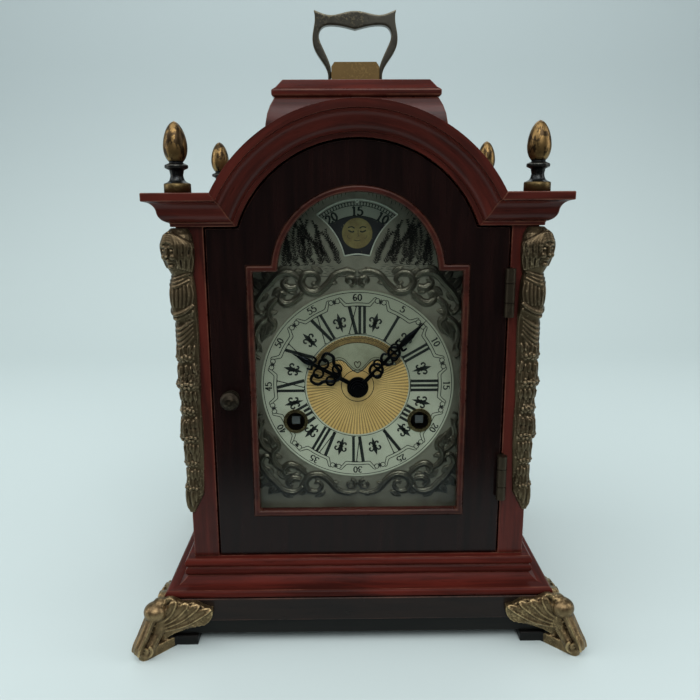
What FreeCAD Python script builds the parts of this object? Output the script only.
import FreeCAD, Part
import math
import os
import re
import Sketcher
from FreeCAD import Vector

# A bracket clock in millimetres. +Z is up and the front faces -Y.
# The origin lies on the floor under the middle of the plinth.
doc = FreeCAD.newDocument("BracketClock")

# ---- Driving sizes ------------------------------------------------------------------------
SIZES = [
    ("case_half_width", 88.3, "middle of the case to its side"),
    ("case_depth", 138.2, "front of the case to its back"),
    ("base_overhang", 13.6, "plinth beyond the case, front and sides"),
    ("floor_gap", 5.5, "floor to the bottom skirt"),
    ("skirt_height", 8.8, "bottom skirt"),
    ("skirt_recess", 2.0, "skirt behind the plinth's faces"),
    ("plinth_height", 12.8, "plain plinth board"),
    ("nosing_height", 4.2, "round nosing above the plinth"),
    ("ogee_height", 3.8, "hollow slope above the nosing"),
    ("step_height", 9.4, "double bead against the case"),
    ("step_out", 3.3, "double bead beyond the case"),
    ("body_height", 174.5, "base moulding to the cornice"),
    ("frame_thickness", 12.0, "front and back frames"),
    ("side_thickness", 8.0, "side panels"),
    ("stile_width", 13.3, "front frame beside the door"),
    ("arch_radius", 62.3, "door opening's arch"),
    ("arch_drop", 21.0, "arch centre below the cornice"),
    ("vault_wall", 7.7, "vault board over the arch"),
    ("back_margin", 14.0, "back frame round the back door"),
    ("cornice_height", 16.0, "cornice moulding"),
    ("cornice_overhang", 12.7, "cornice beyond the case"),
    ("cornice_toe", 2.2, "cornice's lower fillet beyond the case"),
    ("lower_fillet", 2.0, "height of the cornice's lower fillet"),
    ("upper_fillet", 4.0, "height of the cornice's upper fillet"),
    ("cap_half_width", 46.2, "bell top at its foot, sideways"),
    ("cap_half_depth", 42.0, "bell top at its foot, front to back"),
    ("cap_height", 13.6, "bell top above the vault's crown"),
    ("cap_draw_in", 5.0, "bell top narrower above than at its foot"),
    ("cap_skirt", 15.0, "bell top's foot below the vault's crown"),
    ("cap_plate_height", 9.1, "moulded plate on the bell top"),
    ("cap_plate_lip", 1.4, "plate beyond the bell top"),
    ("cap_plate_bevel", 5.3, "plate's bevel, measured inwards"),
    ("block_half_width", 12.9, "handle block, sideways"),
    ("block_half_depth", 7.5, "handle block, front to back"),
    ("block_height", 12.9, "handle block"),
    ("handle_pivot_rise", 7.5, "handle pins above the cap plate"),
    ("handle_depth", 5.0, "handle's bar, front to back"),
    ("handle_pin", 1.2, "handle pin radius"),
    ("door_gap", 0.8, "gap round each door"),
    ("door_thickness", 10.0, "front and back doors"),
    ("door_rail", 19.2, "door leaf beside the glass"),
    ("door_bottom_rail", 22.4, "door leaf below the glass"),
    ("sight_drop", 19.0, "shoulders of the glass below the cornice"),
    ("sight_radius", 42.8, "arch of the glass opening"),
    ("sight_arch_drop", 4.6, "centre of that arch below the shoulders"),
    ("bead_width", 3.0, "glazing bead"),
    ("bead_proud", 1.2, "bead in front of the door"),
    ("bead_depth", 5.0, "bead, front to back"),
    ("glass_thickness", 2.0, "door glass"),
    ("knob_radius", 5.0, "door knobs"),
    ("knob_length", 10.0, "door knobs, from the door"),
    ("knob_height", 88.5, "door knobs above the base moulding"),
    ("knob_inset", 9.5, "door knobs from the leaf's edge"),
    ("hinge_length", 24.0, "each hinge"),
    ("hinge_inset", 32.0, "lower hinge above the door's foot"),
    ("upper_hinge_rise", 129.0, "upper hinge above the door's foot"),
    ("knuckle_radius", 2.5, "hinge knuckles"),
    ("hinge_pin", 1.2, "hinge pin radius"),
    ("hinge_plate", 1.0, "thickness of the hinge leaves"),
    ("running_gap", 0.06, "radial clearance of every running fit"),
    ("piece_gap", 0.3, "clearance between pieces that pass each other"),
    ("mask_thickness", 6.0, "dial frame in front of the dial"),
    ("mask_half_width", 57.0, "dial frame's opening"),
    ("mask_lap", 4.0, "dial plate behind the dial frame"),
    ("dial_below", 66.0, "dial centre below the shoulders of the glass"),
    ("dial_thickness", 1.5, "dial plate"),
    ("ring_radius", 51.5, "chapter ring, outside"),
    ("ring_inner", 27.4, "chapter ring, inside"),
    ("ring_thickness", 1.0, "chapter ring"),
    ("trim_thickness", 1.4, "cast corner ornaments"),
    ("winding_half", 33.5, "winding arbors from the middle"),
    ("winding_drop", 19.5, "winding arbors below the dial centre"),
    ("eyelet_hole", 5.6, "winding holes"),
    ("eyelet_wall", 0.6, "winding eyelets"),
    ("eyelet_lip", 6.6, "rim of the winding eyelets"),
    ("key_square", 4.3, "square for the winding key"),
    ("moon_rise", 66.0, "moon disc's pivot above the dial centre"),
    ("moon_disc_radius", 33.0, "moon disc"),
    ("moon_disc_thickness", 0.8, "moon disc"),
    ("moon_window_top", 31.6, "top of the moon window above the pivot"),
    ("moon_window_half", 20.6, "half width of the moon window"),
    ("moon_window_foot", 6.6, "half width of its foot"),
    ("moon_window_low", 3.2, "its foot above the pivot"),
    ("moon_stud", 1.4, "moon disc's stud"),
    ("dial_to_plate", 16.0, "dial plate to the movement"),
    ("plate_half_width", 60.0, "movement plates"),
    ("plate_below", 50.0, "movement plates below the dial centre"),
    ("plate_above", 56.0, "movement plates above the dial centre"),
    ("plate_thickness", 2.0, "movement plates"),
    ("plate_spacing", 42.0, "between the movement plates"),
    ("pillar_radius", 3.5, "movement pillars"),
    ("pillar_inset", 6.5, "pillars from the plates' edges"),
    ("seat_thickness", 8.0, "seat board"),
    ("seat_depth", 74.0, "seat board, front to back"),
    ("centre_arbor", 1.5, "centre arbor radius"),
    ("cannon_wall", 0.9, "cannon pipe"),
    ("hour_pipe_wall", 0.8, "hour pipe"),
    ("pivot_radius", 1.2, "other arbors"),
    ("motion_module", 0.5, "tooth size of the cannon pinion and minute wheel"),
    ("great_module", 0.8, "tooth size of the great wheel"),
    ("second_module", 0.7, "tooth size of the second wheel"),
    ("third_module", 0.5, "tooth size of the centre wheel"),
    ("barrel_radius", 21.5, "spring barrels"),
    ("barrel_length", 22.0, "spring barrels"),
    ("arbor_radius", 3.4, "winding arbors"),
    ("wheel_thickness", 1.6, "train wheels"),
    ("hand_thickness", 0.9, "hands"),
    ("minute_reach", 51.0, "minute hand"),
    ("hour_reach", 40.0, "hour hand"),
    ("balance_radius", 9.0, "balance rim"),
    ("bell_radius", 27.0, "bell mouth"),
    ("bell_height", 17.0, "bell"),
    ("bell_wall", 1.5, "bell"),
    ("bell_rise", 14.0, "bell mouth above the movement"),
    ("hanger", 2.0, "screw that holds the bell"),
    ("foot_height", 29.0, "corner feet"),
    ("foot_reach", 13.1, "toes beyond the plinth"),
    ("foot_wing", 25.0, "foot wings along the plinth"),
    ("foot_leaf", 3.0, "thickness of the foot wings"),
    ("foot_pad", 16.0, "foot's pad under the skirt"),
    ("mount_length", 148.0, "corner mounts"),
    ("mount_width", 15.5, "corner mounts at the head, seen from the front"),
    ("finial_height", 33.0, "finials"),
    ("finial_radius", 6.4, "finial's drum"),
    ("finial_inset", 14.5, "finials from the cornice's edge"),
]

# ---- Places worked out from the driving sizes ---------------------------------------------
PLACES = {
    "half_depth": "(case_depth + base_overhang) / 2",
    "front": "base_overhang - half_depth",
    "back": "half_depth",
    "plinth_half": "case_half_width + base_overhang",
    "plinth_bottom": "floor_gap + skirt_height",
    "plinth_top": "plinth_bottom + plinth_height",
    "base_top": "plinth_top + nosing_height + ogee_height + step_height",
    "case_top": "base_top + body_height",
    "cornice_top": "case_top + cornice_height",
    "arch_centre": "case_top - arch_drop",
    "arch_half": "sqrt(arch_radius ^ 2 - arch_drop ^ 2)",
    "arch_outer": "arch_radius + cornice_height",
    "arch_outer_half": "sqrt(arch_outer ^ 2 - (arch_drop + cornice_height) ^ 2)",
    "vault_radius": "arch_radius + vault_wall",
    "vault_half": "sqrt(vault_radius ^ 2 - (arch_drop + cornice_height) ^ 2)",
    "vault_foot": "sqrt(vault_radius ^ 2 - arch_drop ^ 2)",
    "crown": "arch_centre + vault_radius",
    "opening_half": "case_half_width - stile_width",
    "inner_front": "front + frame_thickness",
    "inner_back": "back - frame_thickness",
    "inner_half": "case_half_width - side_thickness",
    "back_half": "inner_half - back_margin",
    "back_bottom": "base_top + back_margin",
    "back_top": "case_top - back_margin",
    "back_leaf_half": "(back_half - door_gap)",
    "cap_top": "crown + cap_height",
    "block_bottom": "cap_top + cap_plate_height",
    "handle_pivot": "block_bottom + handle_pivot_rise",
    "leaf_half": "opening_half - door_gap",
    "leaf_bottom": "base_top + door_gap",
    "leaf_shoulder": "case_top - door_gap",
    "leaf_radius": "arch_radius - door_gap",
    "leaf_arch_half": "sqrt(leaf_radius ^ 2 - (arch_drop - door_gap) ^ 2)",
    "sight_half": "leaf_half - door_rail",
    "sight_bottom": "leaf_bottom + door_bottom_rail",
    "sight_shoulder": "case_top - sight_drop",
    "sight_centre": "sight_shoulder - sight_arch_drop",
    "sight_arch_half": "sqrt(sight_radius ^ 2 - sight_arch_drop ^ 2)",
    "bead_radius": "sight_radius - bead_width",
    "bead_shoulder": "sight_shoulder - bead_width",
    "bead_arch_half": "sqrt(bead_radius ^ 2 - (sight_arch_drop - bead_width) ^ 2)",
    "hinge_x": "opening_half - door_gap / 2",
    "hinge_y": "front - knuckle_radius - piece_gap",
    "dial_front": "inner_front + mask_thickness",
    "dial_back": "dial_front + dial_thickness",
    "dial_z": "sight_shoulder - dial_below",
    "mask_bottom": "sight_bottom - mask_lap",
    "mask_radius": "sight_radius + 2 * bead_width",
    "mask_arch_half": "sqrt(mask_radius ^ 2 - sight_arch_drop ^ 2)",
    "plate_arch": "mask_radius + mask_lap",
    "plate_arch_half": "sqrt(plate_arch ^ 2 - (sight_arch_drop + mask_lap) ^ 2)",
    "moon_z": "dial_z + moon_rise",
    "ring_front": "dial_front - ring_thickness",
    "plate_front": "dial_back + dial_to_plate",
    "plate_bottom": "dial_z - plate_below",
    "plate_top": "dial_z + plate_above",
    "train_front": "plate_front + plate_thickness",
    "train_back": "train_front + plate_spacing",
    "winding_z": "dial_z - winding_drop",
    "cannon_bore": "centre_arbor + running_gap",
    "cannon_radius": "cannon_bore + cannon_wall",
    "hour_bore": "cannon_radius + running_gap",
    "hour_pipe": "hour_bore + hour_pipe_wall",
    "dial_bore": "hour_pipe + 2 * piece_gap",
    "hour_hand_back": "ring_front - 2.4",
    "minute_hand_back": "hour_hand_back - hand_thickness - 1.3",
    "hand_nut_back": "minute_hand_back - hand_thickness",
    "bell_y": "train_back + plate_thickness - bell_radius - 3 * piece_gap",
}

# The feet of the hinges above the floor, lower and upper.
FRONT_HINGES = ("(leaf_bottom + hinge_inset)", "(leaf_bottom + upper_hinge_rise)")
BACK_HINGES = ("(back_bottom + hinge_inset * 0.6)", "(back_top - hinge_inset * 0.6 - hinge_length)")

sheet = doc.addObject("Spreadsheet::Sheet", "Sizes")
for row, (word, value, note) in enumerate(SIZES, 1):
    sheet.set("A%d" % row, word)
    sheet.set("B%d" % row, str(value))
    sheet.set("C%d" % row, note)
    sheet.setAlias("B%d" % row, word)
doc.recompute()
WORDS = {word for word, value, note in SIZES}
finished = []


def ex(text):
    """The text as an expression, with its words turned into cells of the sheet."""
    def swap(found):
        word = found.group(0)
        if word in WORDS:
            return "Sizes." + word
        if word in PLACES:
            return "(" + ex(PLACES[word]) + ")"
        return word
    return re.sub(r"[a-z][a-z_]*", swap, str(text))


def num(text):
    """The number that an expression gives now."""
    return float(sheet.evalExpression(ex(text)))


def bind(thing, **sizes):
    for name, text in sizes.items():
        thing.setExpression(name, ex(text))
    return thing


def place(thing, x="0", y="0", z="0"):
    for axis, text in zip("xyz", (x, y, z)):
        thing.setExpression("Placement.Base." + axis, ex(text))
    return thing


def keep(thing, name):
    """Names a finished sub-part, which is then written as one file."""
    thing.Label = name
    finished.append(thing)
    return thing


def box(name, x, y, z):
    """A board between two expressions on each axis."""
    made = doc.addObject("Part::Box", name)
    bind(made, Length="(%s) - (%s)" % (x[1], x[0]), Width="(%s) - (%s)" % (y[1], y[0]),
         Height="(%s) - (%s)" % (z[1], z[0]))
    return place(made, x[0], y[0], z[0])


def rod(name, radius, x, y, z, axis="y"):
    """A cylinder along one axis, whose own coordinate is a pair of expressions."""
    made = doc.addObject("Part::Cylinder", name)
    spans = {"x": x, "y": y, "z": z}
    low, high = spans[axis]
    bind(made, Radius=radius, Height="(%s) - (%s)" % (high, low))
    starts = {key: (low if key == axis else value) for key, value in spans.items()}
    turns = {"x": (Vector(0, 1, 0), 90), "y": (Vector(1, 0, 0), -90), "z": (Vector(0, 0, 1), 0)}
    made.Placement = FreeCAD.Placement(Vector(), FreeCAD.Rotation(*turns[axis]))
    return place(made, starts["x"], starts["y"], starts["z"])


def fuse(name, *pieces):
    made = doc.addObject("Part::MultiFuse", name)
    made.Shapes = list(pieces)
    made.Refine = True
    return made


def cut(name, base, *tools):
    tool = tools[0] if len(tools) == 1 else fuse(name + "Tools", *tools)
    made = doc.addObject("Part::Cut", name)
    made.Base = base
    made.Tool = tool
    return made


def group(name, *pieces):
    made = doc.addObject("Part::Compound", name)
    made.Links = list(pieces)
    return made


def solid(name, shape):
    """A sub-part whose shape is worked out here from the sheet's sizes."""
    made = doc.addObject("Part::Feature", name)
    made.Shape = shape
    return made


# ---- Sketches -----------------------------------------------------------------------------
# A loop is a list of corners (x, y). A third value makes the edge after the corner an arc of
# that radius, and the fourth says its turn: 1 anticlockwise, -1 clockwise.
# A circle is ("circle", x, y, radius).
def plane_of(body, role):
    return [item for item in body.Origin.OriginFeatures if item.Role == role][0]


def fix_point(made, index, spot, texts):
    for kind, value, text in zip(("DistanceX", "DistanceY"), spot, texts):
        number = made.addConstraint(Sketcher.Constraint(kind, -1, 1, index[0], index[1], value))
        if re.search("[a-z]", text):
            made.setExpression("Constraints[%d]" % number, ex(text))


def fix_radius(made, edge, value, text):
    number = made.addConstraint(Sketcher.Constraint("Radius", edge, value))
    made.setExpression("Constraints[%d]" % number, ex(text))


def arc_between(start, end, radius, turn):
    chord = end - start
    rise = math.sqrt(radius ** 2 - (chord.Length / 2) ** 2)
    left = Vector(-chord.y, chord.x, 0).normalize()
    centre = (start + end) / 2 + left * rise * turn
    first, last = (start, end) if turn > 0 else (end, start)
    angles = [math.atan2(spot.y - centre.y, spot.x - centre.x) for spot in (first, last)]
    if angles[1] < angles[0]:
        angles[1] += 2 * math.pi
    return Part.ArcOfCircle(Part.Circle(centre, Vector(0, 0, 1), radius), *angles)


def draw_loop(made, corners):
    if corners[0] == "circle":
        x, y, radius = corners[1:]
        circle = Part.Circle(Vector(num(x), num(y), 0), Vector(0, 0, 1), num(radius))
        edge = made.addGeometry(circle, False)
        fix_point(made, (edge, 3), (num(x), num(y)), (x, y))
        fix_radius(made, edge, num(radius), radius)
        return
    spots = [Vector(num(corner[0]), num(corner[1]), 0) for corner in corners]
    edges, starts, ends = [], [], []
    for number, corner in enumerate(corners):
        start, end = spots[number], spots[(number + 1) % len(spots)]
        turn = corner[3] if len(corner) > 2 else 0
        if turn:
            shape = arc_between(start, end, num(corner[2]), turn)
        else:
            shape = Part.LineSegment(start, end)
        edges.append(made.addGeometry(shape, False))
        starts.append(2 if turn < 0 else 1)
        ends.append(1 if turn < 0 else 2)
    for number, corner in enumerate(corners):
        after = (number + 1) % len(corners)
        joint = Sketcher.Constraint("Coincident", edges[number], ends[number], edges[after], starts[after])
        made.addConstraint(joint)
        fix_point(made, (edges[number], starts[number]), spots[number][:2], corner[:2])
        if len(corner) > 2:
            fix_radius(made, edges[number], num(corner[2]), corner[2])


def sketch(body, role, *loops):
    made = body.newObject("Sketcher::SketchObject", "Outline")
    made.AttachmentSupport = (plane_of(body, role), [""])
    made.MapMode = "FlatFace"
    for corners in loops:
        draw_loop(made, corners)
    return made


def pad(body, profile, length):
    made = body.newObject("PartDesign::Pad", "Pad")
    made.Profile = profile
    return bind(made, Length=length)


def pocket(body, profile):
    """Cuts a sketch right through the body, both ways."""
    made = body.newObject("PartDesign::Pocket", "Pocket")
    made.Profile = profile
    made.Type = "ThroughAll"
    made.SideType = "Symmetric"
    return made


def revolve(body, profile, axis, angle=360):
    made = body.newObject("PartDesign::Revolution", "Revolution")
    made.Profile = profile
    made.ReferenceAxis = (plane_of(body, axis), [""])
    made.Angle = angle
    made.Midplane = angle < 360
    return made


def new_body(name):
    return doc.addObject("PartDesign::Body", name)


def board(name, loops, thickness, back):
    """A flat piece in the XZ plane: its back face is at y = back."""
    body = new_body(name)
    pad(body, sketch(body, "XZ_Plane", *loops), thickness)
    return place(body, y=back)


def arched(half, bottom, shoulder, arch_half, radius, centre):
    """A square-shouldered outline with an arched top."""
    top = ("0", "%s + %s" % (centre, radius), radius, 1)
    return [("-(%s)" % half, bottom), (half, bottom), (half, shoulder),
            (arch_half, shoulder, radius, 1), top, ("-(%s)" % arch_half, shoulder),
            ("-(%s)" % half, shoulder)]


# ---- Base ---------------------------------------------------------------------------------
def make_base():
    inset = "plinth_half - skirt_recess"
    depth = "half_depth - skirt_recess"
    skirt = box("Skirt", ("-(%s)" % inset, inset), ("-(%s)" % depth, depth), ("floor_gap", "plinth_bottom"))
    keep(skirt, "base_skirt")
    plinth = box("Plinth", ("-plinth_half", "plinth_half"), ("-half_depth", "half_depth"),
                 ("plinth_bottom", "plinth_top"))
    keep(plinth, "base_plinth")
    core = box("Core", ("-case_half_width", "case_half_width"), ("front", "back"), ("plinth_top", "base_top"))
    keep(core, "base_board")
    bulge = "nosing_height * (0.55 - sqrt(0.55 ^ 2 - 0.25))"
    nose = "(base_overhang - %s)" % bulge
    slope = "0.9 * sqrt((%s - step_out) ^ 2 + ogee_height ^ 2)" % nose
    step = "nosing_height + ogee_height"
    bead = "step_height * 0.3"
    profile = [("0", "0"), (nose, "0", "nosing_height * 0.55", 1), (nose, "nosing_height", slope, -1),
               ("step_out", step, bead, 1), ("step_out", step + " + step_height / 2", bead, 1),
               ("step_out", step + " + step_height"), ("0", step + " + step_height")]
    body = new_body("BaseMoulding")
    across = [corner_at(corner, -1) for corner in profile]
    section = sketch(body, "XZ_Plane", across)
    path = open_path(body, [("-case_half_width", "0"), ("-case_half_width", "-case_depth"),
                            ("case_half_width", "-case_depth"), ("case_half_width", "0")])
    pipe(body, section, path, 3)
    keep(place(body, y="back", z="plinth_top"), "base_moulding")


def quarter(start, end, steps, upright):
    """Corners on a quarter ellipse after its start, which it leaves upright or level."""
    found = []
    for step in range(1, steps):
        near = math.cos(math.pi / 2 * step / steps)
        far = math.sin(math.pi / 2 * step / steps)
        if upright:
            shares = (near, 1 - near), (1 - far, far)
        else:
            shares = (1 - far, far), (near, 1 - near)
        found.append(tuple("%.6f * (%s) + %.6f * (%s)" % (a, start[axis], b, end[axis])
                           for axis, (a, b) in enumerate(shares)))
    return found + [end]


def corner_at(corner, side):
    """A moulding's profile point, set out from the case's side."""
    x = "%d * (case_half_width + (%s))" % (side, corner[0])
    if len(corner) > 2:
        return (x, corner[1], corner[2], corner[3] * side)
    return (x, corner[1])


def open_path(body, corners):
    made = body.newObject("Sketcher::SketchObject", "Path")
    made.AttachmentSupport = (plane_of(body, "XY_Plane"), [""])
    made.MapMode = "FlatFace"
    spots = [Vector(num(x), num(y), 0) for x, y in corners]
    for number in range(len(spots) - 1):
        made.addGeometry(Part.LineSegment(spots[number], spots[number + 1]), False)
        fix_point(made, (number, 1), spots[number][:2], corners[number])
        if number:
            made.addConstraint(Sketcher.Constraint("Coincident", number - 1, 2, number, 1))
    fix_point(made, (len(spots) - 2, 2), spots[-1][:2], corners[-1])
    return made


def pipe(body, section, path, edges):
    made = body.newObject("PartDesign::AdditivePipe", "Pipe")
    made.Profile = section
    made.Spine = (path, ["Edge%d" % number for number in range(1, edges + 1)])
    made.Transition = "Right corner"
    return made


# ---- Case ---------------------------------------------------------------------------------
def head_of_frame():
    """The frames' top edge, from the right-hand corner over the vault to the left."""
    return [("case_half_width", "cornice_top"), ("vault_half", "cornice_top", "vault_radius", 1),
            ("0", "crown", "vault_radius", 1), ("-vault_half", "cornice_top"),
            ("-case_half_width", "cornice_top")]


def make_case():
    for side, name in ((-1, "left"), (1, "right")):
        low = "-case_half_width" if side < 0 else "inner_half"
        high = "-inner_half" if side < 0 else "case_half_width"
        panel = box("Side", (low, high), ("inner_front", "inner_back"), ("base_top", "case_top"))
        keep(panel, "side_panel_" + name)
    opening = [("-case_half_width", "base_top"), ("-opening_half", "base_top"), ("-opening_half", "case_top"),
               ("-arch_half", "case_top", "arch_radius", -1),
               ("0", "arch_centre + arch_radius", "arch_radius", -1), ("arch_half", "case_top"),
               ("opening_half", "case_top"), ("opening_half", "base_top"), ("case_half_width", "base_top")]
    frame = board("FrontFrame", [opening + head_of_frame()], "frame_thickness", "inner_front")
    notch(frame, ("opening_half - door_gap / 4", "opening_half + hinge_plate"), FRONT_HINGES)
    keep(frame, "front_frame")
    outside = [("-case_half_width", "base_top"), ("case_half_width", "base_top")] + head_of_frame()
    hole = [("-back_half", "back_bottom"), ("back_half", "back_bottom"), ("back_half", "back_top"),
            ("-back_half", "back_top")]
    frame = board("BackFrame", [outside, hole], "frame_thickness", "back")
    notch(frame, ("-back_half - hinge_plate", "door_gap / 4 - back_half"), BACK_HINGES)
    keep(frame, "back_frame")
    deck = box("Deck", ("-case_half_width", "case_half_width"), ("inner_front", "inner_back"),
               ("case_top", "cornice_top"))
    under_vault = rod("UnderVault", "vault_radius", "0", ("inner_front", "inner_back"), "arch_centre")
    keep(cut("Decks", deck, under_vault), "roof_decks")
    shell = [("vault_foot", "case_top", "vault_radius", 1), ("0", "crown", "vault_radius", 1),
             ("-vault_foot", "case_top"), ("-arch_half", "case_top", "arch_radius", -1),
             ("0", "arch_centre + arch_radius", "arch_radius", -1), ("arch_half", "case_top")]
    keep(board("Vault", [shell], "case_depth - 2 * frame_thickness", "inner_back"), "roof_vault")


# ---- Cornice ------------------------------------------------------------------------------
def cornice_profile():
    """Lower fillet, cyma recta and upper fillet, as (out, up)."""
    rise = "(cornice_height - lower_fillet - upper_fillet)"
    run = "(cornice_overhang - cornice_toe - 0.7)"
    curve = "0.8 * sqrt((%s / 2) ^ 2 + (%s / 2) ^ 2)" % (run, rise)
    return [("0", "0"), ("cornice_toe", "0"), ("cornice_toe", "lower_fillet", curve, 1),
            ("cornice_toe + %s / 2" % run, "lower_fillet + %s / 2" % rise, curve, -1),
            ("cornice_toe + " + run, "lower_fillet + " + rise),
            ("cornice_overhang", "lower_fillet + " + rise),
            ("cornice_overhang", "cornice_height"), ("0", "cornice_height")]


def make_cornice():
    run = "(arch_outer_half - arch_half)"
    for side, name in ((-1, "left"), (1, "right")):
        body = new_body("Cornice")
        section = sketch(body, "XZ_Plane", [corner_at(corner, side) for corner in cornice_profile()])
        wall = "%d * case_half_width" % side
        path = open_path(body, [(wall, "0"), (wall, "-case_depth"), ("%d * arch_half" % side, "-case_depth")])
        pipe(body, section, path, 2)
        # The front length stops at its mitre with the arch.
        mitre = [("0", "-cornice_height"), ("%d * (arch_half - %s)" % (side, run), "-cornice_height"),
                 ("%d * (arch_half + 2 * %s)" % (side, run), "2 * cornice_height"), ("0", "2 * cornice_height")]
        pocket(body, sketch(body, "XZ_Plane", mitre))
        keep(place(body, y="back", z="case_top"), "cornice_" + name)
    body = new_body("CorniceArch")
    around = []
    for corner in cornice_profile():
        spot = ("front - (%s)" % corner[0], "arch_radius + (%s)" % corner[1])
        around.append(spot if len(corner) == 2 else spot + (corner[2], -corner[3]))
    revolve(body, sketch(body, "YZ_Plane", around), "Y_Axis", 150)
    wedges = []
    for side in (-1, 1):
        low, high = "arch_drop - cornice_height", "arch_drop + 2 * cornice_height"
        wedges.append([("%d * (arch_half - %s)" % (side, run), low), ("%d * 2 * arch_radius" % side, low),
                       ("%d * 2 * arch_radius" % side, high),
                       ("%d * (arch_half + 2 * %s)" % (side, run), high)])
    pocket(body, sketch(body, "XZ_Plane", *wedges))
    keep(place(body, z="arch_centre"), "cornice_arch")


# ---- Cap and handle -----------------------------------------------------------------------
def tiers(name, levels):
    """A mitred block: a ruled loft through rectangles (z, half width, half depth)."""
    sections = []
    for height, wide, deep in levels:
        made = doc.addObject("Sketcher::SketchObject", name + "Level")
        draw_loop(made, [("-(%s)" % wide, "-(%s)" % deep), (wide, "-(%s)" % deep), (wide, deep),
                         ("-(%s)" % wide, deep)])
        sections.append(place(made, z=height))
    made = doc.addObject("Part::Loft", name)
    made.Sections = sections
    made.Solid = True
    made.Ruled = True
    return made


def make_cap():
    levels = []
    # From the foot up the sides round over into the neck.
    for share, draw in ((0, 0), (0.35, 0.03), (0.55, 0.12), (0.72, 0.3), (0.86, 0.58), (1, 1)):
        levels.append(("crown - cap_skirt + %s * (cap_skirt + cap_height)" % share,
                       "cap_half_width - %s * cap_draw_in" % draw, "cap_half_depth - %s * cap_draw_in" % draw))
    block = tiers("CapBlock", levels)
    under = rod("UnderCap", "vault_radius", "0", ("-case_depth", "case_depth"), "arch_centre")
    keep(cut("Cap", block, under), "cap_body")
    neck = "cap_half_width - cap_draw_in"
    neck_deep = "cap_half_depth - cap_draw_in"
    lip = "cap_plate_lip"
    plate = tiers("CapPlate", [
        ("cap_top", neck, neck_deep),
        ("cap_top + 0.1 * cap_plate_height", neck + " + " + lip, neck_deep + " + " + lip),
        ("cap_top + 0.4 * cap_plate_height", neck + " + " + lip, neck_deep + " + " + lip),
        ("cap_top + 0.55 * cap_plate_height", neck + " - 0.1 * cap_plate_bevel",
         neck_deep + " - 0.1 * cap_plate_bevel"),
        ("block_bottom", neck + " + %s - cap_plate_bevel" % lip, neck_deep + " + %s - cap_plate_bevel" % lip)])
    keep(plate, "cap_plate")
    shoulder = "block_half_width - 1.6"
    outline = [("-block_half_width", "0"), ("block_half_width", "0"), ("block_half_width", "block_height - 2.4"),
               (shoulder, "block_height"), ("-(%s)" % shoulder, "block_height"),
               ("-block_half_width", "block_height - 2.4")]
    body = new_body("HandleBlock")
    pad(body, sketch(body, "XZ_Plane", outline), "2 * block_half_depth")
    bore = sketch(body, "YZ_Plane", ("circle", "-block_half_depth", "handle_pivot_rise", "handle_pin + running_gap"))
    pocket(body, bore)
    keep(place(body, y="block_half_depth", z="block_bottom"), "handle_block")


# Half of the handle's outline as (x, z) from the pins, for a block 12.9 wide: down the outside
# from the horn, then up the inside of the leg and under the grip, and the top of the grip.
HANDLE_OUTSIDE = [(22.3, 32.7), (22.2, 24.0), (23.0, 19.4), (22.6, 14.5), (17.6, 6.0), (15.6, 2.6), (14.9, -2.6)]
HANDLE_INSIDE = [(13.2, 3.2), (14.6, 7.6), (18.3, 15.4), (19.5, 20.7), (17.6, 23.9),
                 (12.7, 25.0), (6.4, 24.3), (0, 22.8)]
HANDLE_TOP = [(0, 32.0), (6.4, 31.1), (13.6, 30.0), (18.9, 31.3), (22.3, 32.7)]


def curve(points):
    made = Part.BSplineCurve()
    made.interpolate(points)
    return made.toShape()


def make_handle():
    shift = num("block_half_width + piece_gap") - HANDLE_INSIDE[0][0]
    def spots(outline):
        return [Vector(x + (shift if x else 0), 0, z) for x, z in outline]
    toe = spots(HANDLE_OUTSIDE)[-1]
    heel = Vector(spots(HANDLE_INSIDE)[0].x, 0, toe.z)
    right = [curve(spots(HANDLE_OUTSIDE)), Part.makeLine(toe, heel), Part.makeLine(heel, spots(HANDLE_INSIDE)[0]),
             curve(spots(HANDLE_INSIDE)), curve(spots(HANDLE_TOP))]
    left = [edge.mirror(Vector(), Vector(1, 0, 0)) for edge in right]
    face = Part.Face(Part.Wire(Part.__sortEdges__(right + left)))
    deep = num("handle_depth")
    bail = face.extrude(Vector(0, deep, 0))
    bail.translate(Vector(0, -deep / 2, 0))
    pins = []
    reach = num("block_half_width * 0.55")
    ear = num("block_half_width + piece_gap") + 1.2
    for side in (-1, 1):
        start = Vector(side * reach, 0, 0)
        pins.append(Part.makeCylinder(num("handle_pin"), ear - reach, start, Vector(side, 0, 0)))
    made = solid("Handle", bail.multiFuse(pins).removeSplitter())
    keep(place(made, z="handle_pivot"), "carrying_handle")


# ---- Cast feet, corner mounts and finials -------------------------------------------------
TOE_SIDES = 14


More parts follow.
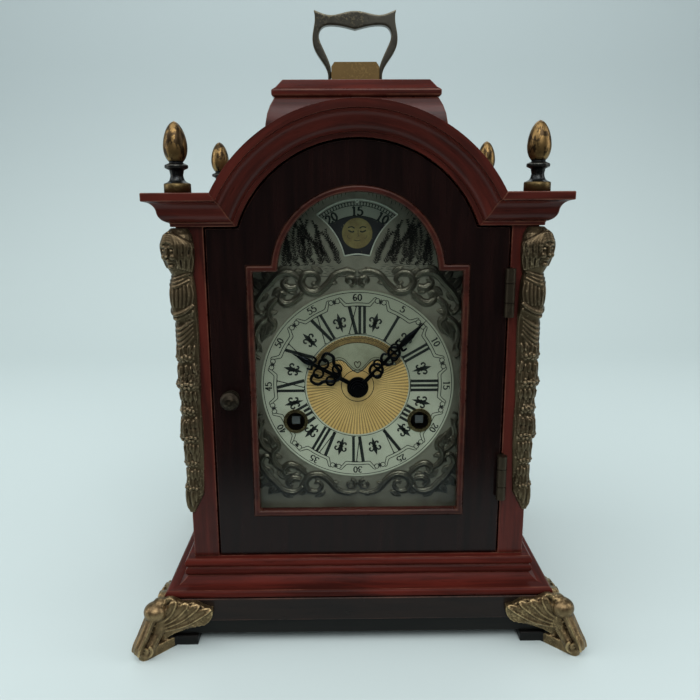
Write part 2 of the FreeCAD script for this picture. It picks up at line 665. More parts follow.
def foot_form():
    """One foot for a plinth corner at the origin that fills the quadrant x < 0, y < 0."""
    high, reach, wing, leaf = (num(word) for word in ("foot_height", "foot_reach", "foot_wing", "foot_leaf"))
    # The toe as round sections: (centre from the corner, height, radius) in shares of its size.
    toe = ((-0.06, 0.97, 0.21), (0.10, 0.84, 0.34), (0.12, 0.66, 0.35), (0.28, 0.42, 0.32),
           (0.55, 0.22, 0.32), (0.70, 0.09, 0.30), (0.74, 0.0, 0.25))
    rings = []
    for out, up, radius in toe:
        middle = Vector(out * reach, out * reach, up * high)
        spots = [middle + Vector(spot.x, spot.z, 0) * radius * reach
                 for spot in (polar(1, 360 * number / TOE_SIDES) for number in range(TOE_SIDES + 1))]
        rings.append(Part.makePolygon(spots))
    form = Part.makeLoft(rings, True, True)
    # A leaf wing, as (along, height) shares: scalloped above, hollow below.
    top = [(-0.08, 0.93), (0.22, 1.0), (0.42, 0.92), (0.62, 0.93), (0.80, 0.86), (1.0, 0.80)]
    tip = [(1.0, 0.80), (0.98, 0.62), (0.82, 0.47)]
    low = [(0.82, 0.47), (0.45, 0.40), (0.12, 0.28), (-0.14, 0.10)]
    runs = [[Vector(-along * wing, 0, up * high) for along, up in run] for run in (top, tip, low)]
    edges = [curve(run) for run in runs] + [Part.makeLine(runs[2][-1], runs[0][0])]
    leaf_face = Part.Face(Part.Wire(edges))
    front_leaf = leaf_face.extrude(Vector(0, leaf, 0))
    side_leaf = front_leaf.mirror(Vector(), Vector(1, -1, 0))
    pad_size = num("foot_pad")
    sole = num("floor_gap")
    shoe = Part.makeBox(pad_size, pad_size, sole, Vector(-pad_size, -pad_size, 0))
    # The sole runs out along the diagonal to the toe.
    run = math.sqrt(2) * (0.72 * reach + pad_size / 2)
    bridge = Part.makeBox(run, 0.5 * reach, sole, Vector(0, -0.25 * reach, 0))
    bridge.rotate(Vector(), Vector(0, 0, 1), 45)
    bridge.translate(Vector(-pad_size / 2, -pad_size / 2, 0))
    form = form.multiFuse([front_leaf, side_leaf, shoe, bridge])
    room = Part.makeBox(2 * wing, 2 * wing, 2 * high, Vector(-2 * wing, -2 * wing, num("floor_gap")))
    return form.cut(room).removeSplitter()


def four_corners(form, half_width, half_depth):
    """Copies of a corner piece, mirrored into the four corners."""
    copies = []
    for side in (-1, 1):
        for end in (-1, 1):
            copy = form if side > 0 else form.mirror(Vector(), Vector(1, 0, 0))
            copy = copy if end > 0 else copy.mirror(Vector(), Vector(0, 1, 0))
            copies.append(copy.translated(Vector(side * half_width, end * half_depth, 0)))
    return copies


def make_feet():
    copies = four_corners(foot_form(), num("plinth_half"), num("half_depth"))
    keep(solid("Feet", Part.makeCompound(copies)), "corner_feet")


# A corner mount from the top down, as shares: how far down it, how far it stands out from the
# corner and how far it reaches over the front and the side. The head stands out most, then come
# the bust, the sash and a tapering drop of drapery and flowers that hugs the corner.
MOUNT_FORM = [(0, 0.16, 0.40), (0.02, 0.34, 0.52), (0.05, 0.43, 0.57), (0.09, 0.42, 0.58), (0.13, 0.30, 0.55),
              (0.155, 0.19, 0.50), (0.18, 0.26, 0.55), (0.22, 0.29, 0.58), (0.27, 0.27, 0.59), (0.31, 0.18, 0.60),
              (0.355, 0.19, 0.61), (0.43, 0.17, 0.59), (0.50, 0.17, 0.56), (0.53, 0.21, 0.56), (0.60, 0.11, 0.55),
              (0.66, 0.18, 0.56), (0.70, 0.20, 0.56), (0.77, 0.13, 0.57), (0.83, 0.10, 0.55), (0.88, 0.09, 0.53),
              (0.93, 0.16, 0.48), (0.965, 0.13, 0.30), (1, 0.07, 0.12)]
MOUNT_SIDES = 16
MOUNT_SQUARENESS = 0.6


def squared(part):
    """A sine or cosine pushed outwards, which turns a circle into a rounded square."""
    return math.copysign(abs(part) ** MOUNT_SQUARENESS, part)


def make_corner_mounts():
    """Tapering casts that wrap the front corners."""
    length, wide = num("mount_length"), num("mount_width")
    rings = []
    for down, outward, inward in MOUNT_FORM:
        middle, half = (outward - inward) / 2 * wide, (outward + inward) / 2 * wide
        spots = []
        for number in range(MOUNT_SIDES + 1):
            spot = polar(half, 360 * number / MOUNT_SIDES)
            x, y = middle + half * squared(spot.x / half), middle + half * squared(spot.z / half)
            spots.append(Vector(x, y, -down * length))
        rings.append(Part.makePolygon(spots))
    cast = Part.makeLoft(rings, True, True)
    corner = Part.makeBox(4 * wide, 4 * wide, 2 * length, Vector(-4 * wide, -4 * wide, -1.5 * length))
    cast = cast.cut(corner).mirror(Vector(), Vector(0, 1, 0))
    for side, name in ((-1, "left"), (1, "right")):
        copy = cast if side > 0 else cast.mirror(Vector(), Vector(1, 0, 0))
        made = solid("CornerMount", copy)
        place(made, "%d * case_half_width" % side, "front", "case_top - 2 * piece_gap")
        keep(made, "corner_mount_" + name)


def make_finials():
    """Turned finials: a drum, a waist, a ring and an egg."""
    shoulder = ("0.82 * finial_radius", "0.14 * finial_height")
    waist = ("0.48 * finial_radius", "0.245 * finial_height")
    neck = ("0.52 * finial_radius", "0.43 * finial_height")
    widest = ("0.89 * finial_radius", "0.64 * finial_height")
    profile = [("0", "0"), ("finial_radius", "0"), ("finial_radius", "0.125 * finial_height"), shoulder]
    profile += quarter(shoulder, waist, 3, False)
    profile += [("0.55 * finial_radius", "0.32 * finial_height"), ("0.85 * finial_radius", "0.35 * finial_height"),
                ("0.85 * finial_radius", "0.40 * finial_height"), neck]
    profile += quarter(neck, widest, 3, False)
    profile += quarter(widest, ("0", "finial_height"), 6, True)
    body = new_body("Finial")
    revolve(body, sketch(body, "XZ_Plane", profile), "Z_Axis")
    doc.recompute()
    x = num("case_half_width + cornice_overhang - finial_inset")
    copies = []
    for side in (-1, 1):
        for y in (num("front - cornice_overhang + finial_inset"), num("back - finial_inset")):
            copies.append(body.Shape.translated(Vector(side * x, y, num("cornice_top"))))
    keep(solid("Finials", Part.makeCompound(copies)), "finials")


# ---- Doors --------------------------------------------------------------------------------
def hinge_pair(name, x, y, door_x, case_x, wood_y, feet):
    """Butt hinges. Each has one knuckle on the door, and two and the pin on the case."""
    door_side, case_side = [], []
    web_y = (y, wood_y[0]) if num(y) < num(wood_y[0]) else (wood_y[1], y)
    for foot in feet:
        low, high = "%s + 0.3 * hinge_length" % foot, "%s + 0.7 * hinge_length" % foot
        inner_low, inner_high = low + " + piece_gap / 2", high + " - piece_gap / 2"
        ends = ((foot, low + " - piece_gap / 2"), (high + " + piece_gap / 2", foot + " + hinge_length"))
        whole = (foot, foot + " + hinge_length")
        knuckle = rod("Knuckle", "knuckle_radius", x, y, (inner_low, inner_high), "z")
        web = box("Web", door_x, web_y, (inner_low, inner_high))
        leaf = box("HingeLeaf", door_x, wood_y, whole)
        bore = rod("Bore", "hinge_pin + running_gap", x, y, whole, "z")
        door_side.append(cut("DoorHinge", fuse("DoorHingeForm", knuckle, web, leaf), bore))
        parts = [rod("Pin", "hinge_pin", x, y, whole, "z"), box("HingeLeaf", case_x, wood_y, whole)]
        for span in ends:
            parts.append(rod("Knuckle", "knuckle_radius", x, y, span, "z"))
            parts.append(box("Web", case_x, web_y, span))
        case_side.append(fuse("CaseHinge", *parts))
    keep(group("DoorHinges", *door_side), name + "_knuckles")
    keep(group("CaseHinges", *case_side), name + "_pins")


def notch(body, x, feet, length="hinge_length"):
    """Lets the hinge leaves into a wooden edge."""
    loops = [[(x[0], foot), (x[1], foot), (x[1], "%s + %s" % (foot, length)), (x[0], "%s + %s" % (foot, length))]
             for foot in feet]
    pocket(body, sketch(body, "XZ_Plane", *loops))


def make_knob(name, x, y, z, turned):
    """A turned knob with a rose, standing out to the front or, turned, to the back."""
    body = new_body("Knob")
    tip, widest = ("0", "-knob_length"), ("knob_radius", "-0.62 * knob_length")
    profile = [("0", "0"), tip] + quarter(tip, widest, 4, False)
    profile += quarter(widest, ("0.45 * knob_radius", "-0.36 * knob_length"), 3, True)
    profile += [("0.42 * knob_radius", "-0.1 * knob_length"), ("0.8 * knob_radius", "-0.1 * knob_length"),
                ("0.8 * knob_radius", "0")]
    revolve(body, sketch(body, "XY_Plane", profile), "Y_Axis")
    if turned:
        body.Placement = FreeCAD.Placement(Vector(), FreeCAD.Rotation(Vector(0, 0, 1), 180))
    keep(place(body, x, y, z), name)


def make_front_door():
    outside = arched("leaf_half", "leaf_bottom", "leaf_shoulder", "leaf_arch_half", "leaf_radius", "arch_centre")
    sight = arched("sight_half", "sight_bottom", "sight_shoulder", "sight_arch_half", "sight_radius",
                   "sight_centre")
    leaf = board("DoorLeaf", [outside, sight], "door_thickness", "front + door_thickness")
    notch(leaf, ("leaf_half - hinge_plate", "leaf_half + door_gap"), FRONT_HINGES)
    keep(leaf, "front_door_leaf")
    inside = arched("sight_half - bead_width", "sight_bottom + bead_width", "bead_shoulder", "bead_arch_half",
                    "bead_radius", "sight_centre")
    keep(board("Bead", [sight, inside], "bead_depth", "front - bead_proud + bead_depth"), "glazing_bead")
    glass_back = "front - bead_proud + bead_depth + piece_gap / 3 + glass_thickness"
    keep(board("Glass", [sight], "glass_thickness", glass_back), "door_glass")
    make_knob("front_door_knob", "knob_inset - leaf_half", "front", "base_top + knob_height", False)
    hinge_pair("front_hinge", "hinge_x", "hinge_y", ("leaf_half - hinge_plate", "leaf_half"),
               ("opening_half", "opening_half + hinge_plate"), ("front", "front + door_thickness"),
               FRONT_HINGES)


def make_back_door():
    half, low, high = "back_leaf_half", "back_bottom + door_gap", "back_top - door_gap"
    outline = [("-" + half, low), (half, low), (half, high), ("-" + half, high)]
    leaf = board("BackLeaf", [outline], "door_thickness", "back")
    notch(leaf, ("-(back_leaf_half + door_gap)", "hinge_plate - back_leaf_half"), BACK_HINGES)
    keep(leaf, "back_door_leaf")
    make_knob("back_door_knob", "back_leaf_half - knob_inset", "back", "base_top + knob_height", True)
    hinge_pair("back_hinge", "door_gap / 2 - back_half", "back + knuckle_radius + piece_gap",
               ("-back_leaf_half", "hinge_plate - back_leaf_half"), ("-back_half - hinge_plate", "-back_half"),
               ("back - door_thickness", "back"), BACK_HINGES)


# ---- Dial ---------------------------------------------------------------------------------
def make_dial():
    outside = arched("inner_half", "base_top", "case_top", "arch_half", "arch_radius", "arch_centre")
    hole = arched("mask_half_width", "mask_bottom", "sight_shoulder", "mask_arch_half", "mask_radius",
                  "sight_centre")
    keep(board("DialFrame", [outside, hole], "mask_thickness", "dial_front"), "dial_frame")
    plate = arched("mask_half_width + mask_lap", "mask_bottom - mask_lap", "sight_shoulder + mask_lap",
                   "plate_arch_half", "plate_arch", "sight_centre")
    side = "sqrt(moon_window_top ^ 2 - moon_window_half ^ 2)"
    window = [("-moon_window_foot", "moon_z + moon_window_low"),
              ("moon_window_foot", "moon_z + moon_window_low", "moon_window_top", -1),
              ("moon_window_half", "moon_z + " + side, "moon_window_top", 1),
              ("0", "moon_z + moon_window_top", "moon_window_top", 1),
              ("-moon_window_half", "moon_z + " + side, "moon_window_top", -1)]
    eyes = [("circle", "%d * winding_half" % way, "winding_z", "eyelet_hole") for way in (-1, 1)]
    centre = ("circle", "0", "dial_z", "dial_bore")
    body = board("DialPlate", [plate, window, centre] + eyes, "dial_thickness", "dial_back")
    disc_back = "dial_back + 2 * piece_gap + moon_disc_thickness"
    stud = rod("MoonStud", "moon_stud", "0", ("dial_front - 0.6", disc_back + " + 1.2"), "moon_z")
    head = rod("MoonStudHead", "1.4 * moon_stud", "0", ("dial_front - 0.6", "dial_front"), "moon_z")
    collar = rod("MoonStudCollar", "2 * moon_stud", "0", (disc_back, disc_back + " + 0.8"), "moon_z")
    keep(fuse("DialPlateAndStud", body, stud, head, collar), "dial_plate")
    disc = rod("MoonDisc", "moon_disc_radius", "0", ("dial_back + piece_gap", disc_back + " - piece_gap"), "moon_z")
    eye = rod("MoonBore", "moon_stud + running_gap", "0", ("dial_back", disc_back), "moon_z")
    keep(cut("MoonDiscBored", disc, eye), "moon_disc")
    around = [("circle", "%d * winding_half" % way, "-winding_drop", "eyelet_hole") for way in (-1, 1)]
    rims = [("circle", "0", "0", "ring_radius"), ("circle", "0", "0", "ring_inner")]
    ring = board("ChapterRing", rims + around, "ring_thickness", "dial_front")
    keep(place(ring, y="dial_front", z="dial_z"), "chapter_ring")
    disc = board("DialCentre", [("circle", "0", "0", "ring_inner"), ("circle", "0", "0", "dial_bore")],
                 "0.6 * ring_thickness", "dial_front")
    keep(place(disc, y="dial_front", z="dial_z"), "dial_centre")
    eyelets = []
    for way in (-1, 1):
        x = "%d * winding_half" % way
        outer = "eyelet_hole - running_gap"
        sleeve = rod("Sleeve", outer, x, ("ring_front - 0.7", "dial_back"), "winding_z")
        rim = rod("Rim", "eyelet_lip", x, ("ring_front - 0.7", "ring_front"), "winding_z")
        bore = rod("EyeletBore", outer + " - eyelet_wall", x, ("ring_front - 2", "dial_back + 1"), "winding_z")
        eyelets.append(cut("Eyelet", fuse("EyeletForm", sleeve, rim), bore))
    keep(group("Eyelets", *eyelets), "winding_eyelets")
    posts = []
    for way in (-1, 1):
        for end in (-1, 1):
            posts.append(rod("Post", "2.2", "%d * (plate_half_width - 2 * pillar_inset)" % way,
                             ("dial_back", "plate_front"),
                             "dial_z + %d * (plate_below - 1.4 * pillar_inset)" % end))
    keep(group("DialFeet", *posts), "dial_feet")


# A corner ornament's scalloped outer edge, in shares of the way from where it leaves the ring's
# middle line to the corner of the dial: (across, up).
SPANDREL_EDGE = [(0.96, 0.28), (1.0, 0.42), (0.95, 0.52), (1.0, 0.62), (0.97, 0.84), (0.88, 1.0), (0.70, 0.97),
                 (0.55, 1.0), (0.38, 0.97), (0.26, 0.95)]
SPANDREL_ANGLE = 12


def make_spandrels():
    """Corner ornaments between the ring and the dial's square, with scalloped edges."""
    radius = num("ring_radius + 3 * piece_gap")
    wide = num("mask_half_width - 2 * trim_thickness")
    first, last = (polar(radius, angle) for angle in (SPANDREL_ANGLE, 90 - SPANDREL_ANGLE))
    rim = Part.Arc(last, polar(radius, 45), first).toShape()
    pieces = []
    for end, high in ((-1, num("dial_z - sight_bottom - trim_thickness")), (1, num("dial_below - 2 * trim_thickness"))):
        edge = [Vector(across * wide, 0, up * high) for across, up in SPANDREL_EDGE]
        outline = Part.makePolygon([first] + edge + [last])
        form = Part.Face(Part.Wire(outline.Edges + [rim])).extrude(Vector(0, -num("trim_thickness"), 0))
        if end < 0:
            form = form.mirror(Vector(), Vector(0, 0, 1))
        pieces += [form, form.mirror(Vector(), Vector(1, 0, 0))]
    made = solid("Spandrels", Part.makeCompound(pieces))
    keep(place(made, y="dial_front", z="dial_z"), "dial_spandrels")


def polar(distance, degrees):
    return Vector(distance * math.cos(math.radians(degrees)), 0, distance * math.sin(math.radians(degrees)))


# ---- Hands --------------------------------------------------------------------------------
def hand_form(reach, hub, bore, loops, bar):
    """A pierced hand that points up: a hub, rings along the bar, and a leaf-shaped tip.
    loops is a list of (sideways, along, radius)."""
    thick = num("hand_thickness")
    down = Vector(0, -1, 0)
    def disc(x, z, radius):
        return Part.makeCylinder(radius, thick, Vector(x, 0, z), down)
    form = disc(0, 0, hub)
    blade = [(-bar, 0), (-0.7 * bar, 0.72 * reach), (-1.5 * bar, 0.78 * reach), (-0.6 * bar, 0.84 * reach),
             (0, reach), (0.6 * bar, 0.84 * reach), (1.5 * bar, 0.78 * reach), (0.7 * bar, 0.72 * reach), (bar, 0)]
    spots = [Vector(x, 0, z) for x, z in blade]
    form = form.fuse(Part.Face(Part.makePolygon(spots + spots[:1])).extrude(down * thick))
    holes = [disc(0, 0, bore)]
    for x, z, radius in loops:
        form = form.fuse(disc(x, z, radius))
        holes.append(disc(x, z, 0.62 * radius))
    return form.cut(Part.makeCompound(holes)).removeSplitter()


def make_hands():
    bore = num("cannon_radius")
    reach = num("minute_reach")
    loops = ((1.9, 0.25 * reach, 2.6), (-1.9, 0.33 * reach, 2.6), (1.7, 0.50 * reach, 2.3), (-1.7, 0.57 * reach, 2.3))
    minute = solid("MinuteHand", hand_form(reach, bore + 1.9, bore, loops, 1.1))
    turn_hand(minute, MINUTE_ANGLE, "minute_hand_back")
    keep(minute, "minute_hand")
    bore = num("hour_pipe")
    reach = num("hour_reach")
    loops = ((-3.6, 0.36 * reach, 2.9), (3.6, 0.36 * reach, 2.9), (-2.9, 0.55 * reach, 3.1), (2.9, 0.55 * reach, 3.1))
    hour = solid("HourHand", hand_form(reach, bore + 2.4, bore, loops, 1.2))
    turn_hand(hour, HOUR_ANGLE, "hour_hand_back")
    keep(hour, "hour_hand")
    nut = rod("Nut", "cannon_radius + 0.9", "0", ("hand_nut_back - 2", "hand_nut_back"), "dial_z")
    dome = rod("NutDome", "cannon_radius", "0", ("hand_nut_back - 2.8", "hand_nut_back - 2"), "dial_z")
    keep(fuse("HandNut", nut, dome), "hand_nut")


# The hands stand at about seven minutes past ten, in degrees clockwise from twelve.
MINUTE_ANGLE = 44.5
HOUR_ANGLE = 298.5


def turn_hand(hand, angle, back):
    hand.Placement = FreeCAD.Placement(Vector(), FreeCAD.Rotation(Vector(0, 1, 0), angle))
    place(hand, y=back, z="dial_z")


# ---- Wheels -------------------------------------------------------------------------------
# Tooth proportions in modules and, for widths, in shares of the pitch.
ADDENDUM = 0.8
DEDENDUM = 1.2
WHEEL_TOOTH = 0.44
TIP_TOOTH = 0.2
ROOT_TOOTH = 0.55


def toothed(teeth, module, phase, low, high):
    """A toothed disc about the Y axis, with one tooth at the angle called phase."""
    radius = teeth * module / 2
    pitch = 2 * math.pi / teeth
    flank = ((radius - DEDENDUM * module, ROOT_TOOTH), (radius, WHEEL_TOOTH), (radius + ADDENDUM * module, TIP_TOOTH))
    spots = []
    for number in range(teeth):
        middle = phase + number * pitch
        for side in (-1, 1):
            for far, share in flank[::-side]:
                angle = middle + side * share * pitch / 2
                spots.append(Vector(far * math.cos(angle), low, far * math.sin(angle)))
    return Part.Face(Part.makePolygon(spots + spots[:1])).extrude(Vector(0, high - low, 0))


def meshing(teeth, phase, angle, other):
    """The phase of a wheel with other teeth that meshes with this one, which lies at angle from it."""
    pitch = 2 * math.pi / teeth
    share = ((angle - phase) / pitch) % 1
    return angle + math.pi + (share + 0.5) * 2 * math.pi / other


def tube(outer, inner, low, high):
    made = Part.makeCylinder(outer, high - low, Vector(0, low, 0), Vector(0, 1, 0))
    if inner:
        made = made.cut(Part.makeCylinder(inner, high - low, Vector(0, low, 0), Vector(0, 1, 0)))
    return made


def crossed(blank, hub, rim):
    """Cuts the four openings between a train wheel's arms."""
    span = blank.BoundBox
    arm = 0.12 * rim
    opening = tube(rim, hub, span.YMin - 1, span.YMax + 1)
    for turn in (0, 90):
        bar = Part.makeBox(2 * arm, span.YLength + 4, 3 * rim, Vector(-arm, span.YMin - 2, -1.5 * rim))
        bar.rotate(Vector(), Vector(0, 1, 0), turn)
        opening = opening.cut(bar)
    return blank.cut(opening)


CANNON_TEETH = 14
MINUTE_TEETH = 42
MINUTE_PINION_TEETH = 10
HOUR_TEETH = 40
GREAT_TEETH = 60
SECOND_PINION_TEETH = 10
SECOND_TEETH = 34
CENTRE_PINION_TEETH = 8
CENTRE_TEETH = 48
THIRD_PINION_TEETH = 8
THIRD_TEETH = 40


def across(first, second, module):
    """Centre distance of two meshing wheels with these numbers of teeth."""
    return (first + second) * module / 2


def second_place():
    """Where the second wheel meshes with both the great wheel and the centre pinion."""
    barrel = Vector(num("winding_half"), 0, -num("winding_drop"))
    from_barrel = across(GREAT_TEETH, SECOND_PINION_TEETH, num("great_module"))
    from_centre = across(SECOND_TEETH, CENTRE_PINION_TEETH, num("second_module"))
    span = barrel.Length
    along = (from_centre ** 2 - from_barrel ** 2 + span ** 2) / (2 * span)
    aside = math.sqrt(from_centre ** 2 - along ** 2)
    unit = barrel / span
    return unit * along + Vector(-unit.z, 0, unit.x) * aside


def angle_to(start, end):
    return math.atan2(end.z - start.z, end.x - start.x)


def seat_wheel(name, shape, spot=None):
    """Places a wheel worked out about the dial's centre line."""
    made = solid(name, shape)
    spot = spot or Vector()
    made.Placement = FreeCAD.Placement(Vector(spot.x, 0, spot.z + num("dial_z")), FreeCAD.Rotation())
    return keep(made, name)


def make_motion_work():
    module = num("motion_module")
    hour_module = module * (CANNON_TEETH + MINUTE_TEETH) / (MINUTE_PINION_TEETH + HOUR_TEETH)
    spot = polar(across(CANNON_TEETH, MINUTE_TEETH, module), MINUTE_WHEEL_ANGLE)
    way = angle_to(Vector(), spot)
    thick = num("wheel_thickness")
    plate = num("plate_front")
    low_y = plate - num("piece_gap") - 0.7 - thick
    high_y = low_y - 3.2 * thick
    # The cannon pinion's pipe carries the minute hand.
    pinion = toothed(CANNON_TEETH, module, 0, low_y - 0.4, low_y + thick + 0.4)
    pipe_front = num("hand_nut_back")
    pipe_form = tube(num("cannon_radius"), 0, pipe_front, low_y + thick + 0.4)
    bore = tube(num("cannon_bore"), 0, pipe_front, plate)
    seat_wheel("cannon_pinion", pinion.fuse(pipe_form).cut(bore))
    minute_phase = meshing(CANNON_TEETH, 0, way, MINUTE_TEETH)
    wheel = toothed(MINUTE_TEETH, module, minute_phase, low_y, low_y + thick)
    leaves = toothed(MINUTE_PINION_TEETH, hour_module, 0, high_y - 0.4, low_y)
    stud = tube(num("pivot_radius + running_gap"), 0, high_y - 1, plate)
    seat_wheel("minute_wheel", wheel.fuse(leaves).cut(stud), spot)
    hour_phase = meshing(MINUTE_PINION_TEETH, 0, way + math.pi, HOUR_TEETH)
    wheel = toothed(HOUR_TEETH, hour_module, hour_phase, high_y, high_y + thick)
    pipe_front = num("hour_hand_back - hand_thickness")
    hour = wheel.fuse(tube(num("hour_pipe"), 0, pipe_front, high_y + thick))
    seat_wheel("hour_wheel", hour.cut(tube(num("hour_bore"), 0, pipe_front, high_y + thick)))
    return spot, high_y


MINUTE_WHEEL_ANGLE = -60
THIRD_WHEEL_ANGLE = 120


def make_train():
    front, back = num("train_front"), num("train_back")
    thick, pivot = num("wheel_thickness"), num("pivot_radius")
    plate = num("plate_thickness")
    drum, length = num("barrel_radius"), num("barrel_length")
    arbor = num("arbor_radius")
    bore = arbor + num("running_gap")
    ends = (front - plate, back + plate)
    barrels = {1: "going_barrel", -1: "strike_barrel"}
    great_y = front + 1.5 + length
    square = num("key_square")
    for side, name in barrels.items():
        spot = Vector(side * num("winding_half"), 0, -num("winding_drop"))
        form = tube(drum, 0, front + 1.5, great_y)
        wheel = toothed(GREAT_TEETH, num("great_module"), 0, great_y, great_y + thick)
        seat_wheel(name, form.fuse(wheel).cut(tube(bore, 0, front, great_y + 2 * thick)), spot)
        key_end = num("dial_front") + 0.8
        key = Part.makeBox(square, front - plate - key_end, square, Vector(-square / 2, key_end, -square / 2))
        round_part = tube(arbor, 0, front - plate - 1, back + plate)
        seat_wheel(name.replace("barrel", "winding_arbor"), key.fuse(round_part), spot)
    # The layers of the going train, from the great wheel back.
    second_y = great_y + 3 * thick
    centre_y = second_y + 3 * thick
    third_y = centre_y + 2.4 * thick
    spot = second_place()
    barrel = Vector(num("winding_half"), 0, -num("winding_drop"))
    phase = meshing(GREAT_TEETH, 0, angle_to(barrel, spot), SECOND_PINION_TEETH)
    pinion = toothed(SECOND_PINION_TEETH, num("great_module"), phase, great_y - 0.4, great_y + thick + 0.4)
    wheel = toothed(SECOND_TEETH, num("second_module"), 0, second_y, second_y + thick)
    seat_wheel("second_wheel", wheel.multiFuse([pinion, tube(pivot, 0, *ends)]), spot)
    phase = meshing(SECOND_TEETH, 0, angle_to(spot, Vector()), CENTRE_PINION_TEETH)
    pinion = toothed(CENTRE_PINION_TEETH, num("second_module"), phase, second_y - 0.4, second_y + thick + 0.4)
    wheel = toothed(CENTRE_TEETH, num("third_module"), 0, centre_y, centre_y + thick)
    wheel = crossed(wheel, 3.2, 0.8 * CENTRE_TEETH * num("third_module") / 2)
    arbor_form = tube(num("centre_arbor"), 0, num("hand_nut_back") + 0.1, ends[1])
    seat_wheel("centre_wheel", wheel.multiFuse([pinion, arbor_form]))
    third = polar(across(CENTRE_TEETH, THIRD_PINION_TEETH, num("third_module")), THIRD_WHEEL_ANGLE)
    phase = meshing(CENTRE_TEETH, 0, angle_to(Vector(), third), THIRD_PINION_TEETH)
    pinion = toothed(THIRD_PINION_TEETH, num("third_module"), phase, centre_y - 0.4, centre_y + thick + 0.4)
    wheel = toothed(THIRD_TEETH, 0.9 * num("third_module"), 0, third_y, third_y + thick)
    wheel = crossed(wheel, 2.8, 0.78 * THIRD_TEETH * 0.9 * num("third_module") / 2)
    seat_wheel("third_wheel", wheel.multiFuse([pinion, tube(pivot, 0, *ends)]), third)
    return spot, third


def make_movement(minute_spot, motion_y, second, third):
    half, below, above = num("plate_half_width"), num("plate_below"), num("plate_above")
    thick, inset = num("plate_thickness"), num("pillar_inset")
    gap, pivot = num("running_gap"), num("pivot_radius")
    front, back = num("plate_front"), num("train_back")
    winding = [Vector(side * num("winding_half"), 0, -num("winding_drop")) for side in (-1, 1)]
    corners = [Vector(side * (half - inset), 0, z) for side in (-1, 1) for z in (inset - below, above - inset)]
    holes = [(Vector(), num("centre_arbor") + gap), (second, pivot + gap), (third, pivot + gap)]
    holes += [(spot, num("arbor_radius") + gap) for spot in winding]
    holes.append((hammer_place(), pivot + gap))
    for name, y in (("movement_front_plate", front), ("movement_back_plate", back)):
        form = Part.makeBox(2 * half, thick, below + above, Vector(-half, y, -below))
        drills = []
        for spot, radius in holes:
            drills.append(Part.makeCylinder(radius, 2 * thick, spot + Vector(0, y - thick / 2, 0), Vector(0, 1, 0)))
        form = form.cut(Part.makeCompound(drills))
        if name == "movement_front_plate":
            stud = tube(pivot, 0, motion_y - 0.9, y).translated(minute_spot)
            form = form.fuse(stud)
        else:
            form = form.fuse(balance_cock(y + thick))
        seat_wheel(name, form)
    pillars = []
    for spot in corners:
        pillars.append(tube(num("pillar_radius"), 0, front + thick, back).translated(spot))
    seat_wheel("movement_pillars", Part.makeCompound(pillars))
    seat = box("Seat", ("-inner_half", "inner_half"), ("plate_front - 4", "plate_front - 4 + seat_depth"),
               ("plate_bottom - seat_thickness", "plate_bottom"))
    keep(seat, "seat_board")


def balance_place():
    return Vector(-num("winding_half") * 0.75, 0, num("plate_above") * 0.62)


def balance_cock(y):
    """The bridge on the back plate that holds the balance staff's outer end."""
    spot = balance_place()
    radius = num("balance_radius")
    foot = Part.makeBox(7, 11, 8, Vector(spot.x - 3.5, y, spot.z + radius + 1.5))
    arm = Part.makeBox(7, 2, radius + 9.5, Vector(spot.x - 3.5, y + 9, spot.z - 4))
    eye = Part.makeCylinder(0.8 + num("running_gap"), 12, Vector(spot.x, y, spot.z), Vector(0, 1, 0))
    return foot.fuse(arm).cut(eye)


def make_balance():
    y = num("train_back") + num("plate_thickness")
    radius = num("balance_radius")
    rim = tube(radius, 0.84 * radius, y + 3, y + 4.6)
    arm = Part.makeBox(1.8 * radius, 1.2, 1.8, Vector(-0.9 * radius, y + 3.2, -0.9))
    staff = tube(0.8, 0, y + 0.2, y + 11)
    seat_wheel("balance", rim.multiFuse([arm, staff]), balance_place())


def hammer_place():
    return Vector(-num("bell_radius") - 10, 0, num("plate_above") - 9)


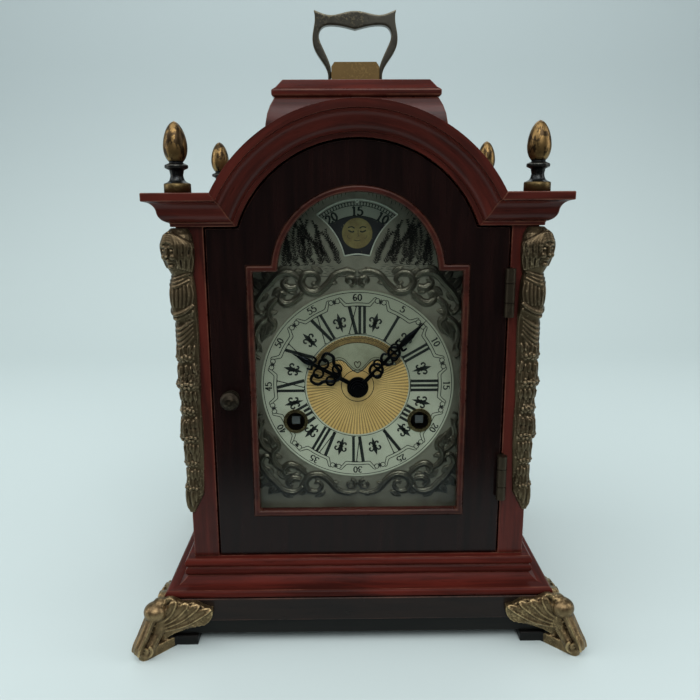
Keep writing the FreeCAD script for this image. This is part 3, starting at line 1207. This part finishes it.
def make_strike():
    """The bell on its stand, and the hammer beside its rim."""
    middle = num("bell_y")
    body = new_body("Bell")
    crown, under = ("hanger + 3", "bell_height"), ("hanger + 3", "bell_height - bell_wall")
    profile = [("hanger", "bell_height"), ("hanger", "bell_height - bell_wall"), under]
    profile += quarter(under, ("bell_radius - bell_wall", "0"), 5, False)
    profile += [("bell_radius", "0")] + quarter(("bell_radius", "0"), crown, 5, True)
    revolve(body, sketch(body, "XZ_Plane", profile), "Z_Axis")
    place(body, y="bell_y", z="plate_top + bell_rise")
    keep(body, "bell")
    post_y = ("train_back + plate_thickness", "train_back + plate_thickness + 5")
    top = "plate_top + bell_rise + bell_height"
    post = box("BellPost", ("-4", "4"), post_y, ("plate_top - 22", top + " + 4"))
    arm = box("BellArm", ("-4", "4"), ("bell_y - 4", post_y[1]), (top, top + " + 4"))
    pin = rod("BellPin", "hanger", "0", "bell_y", (top + " - bell_wall - 2", top + " + 6"), "z")
    nut = rod("BellNut", "hanger + 2", "0", "bell_y", (top + " - bell_wall - 3.4", top + " - bell_wall"), "z")
    keep(fuse("BellStand", post, arm, pin, nut), "bell_stand")
    # The hammer's arm rises from its arbor and its head waits just clear of the rim.
    spot = hammer_place()
    rise = num("plate_above + bell_rise + 2.6") - spot.z
    arm_x = -num("bell_radius") - 4.2 - spot.x
    staff = tube(num("pivot_radius"), 0, num("plate_front"), num("train_back + plate_thickness"))
    crank = Part.makeBox(arm_x + 2, 2, 2.4, Vector(-1, middle - 1, -1.2))
    shank = Part.makeCylinder(0.9, rise, Vector(arm_x, middle, 0))
    head = Part.makeCylinder(3, 6, Vector(arm_x - 3.2, middle, rise), Vector(1, 0, 0))
    seat_wheel("hammer", staff.multiFuse([crank, shank, head]), spot)


# ---- Build, check and write ---------------------------------------------------------------
def check_all():
    doc.recompute()
    for thing in doc.Objects:
        if "Invalid" in thing.State or "Error" in thing.State:
            raise RuntimeError("%s (%s) failed: %s" % (thing.Name, thing.Label, thing.State))
    for thing in finished:
        shape = thing.Shape
        if shape.isNull() or not shape.isValid() or not shape.Solids:
            raise RuntimeError("%s has no valid solid" % thing.Label)


def write_all():
    os.makedirs("parts", exist_ok=True)
    for thing in finished:
        thing.Shape.exportStep("parts/%s.step" % thing.Label)
    print(len(finished), "sub-parts written")


make_base()
make_case()
make_cornice()
make_cap()
make_handle()
make_feet()
make_corner_mounts()
make_finials()
make_front_door()
make_back_door()
make_dial()
make_spandrels()
make_hands()
minute_spot, motion_y = make_motion_work()
second_spot, third_spot = make_train()
make_movement(minute_spot, motion_y, second_spot, third_spot)
make_balance()
make_strike()
check_all()
write_all()
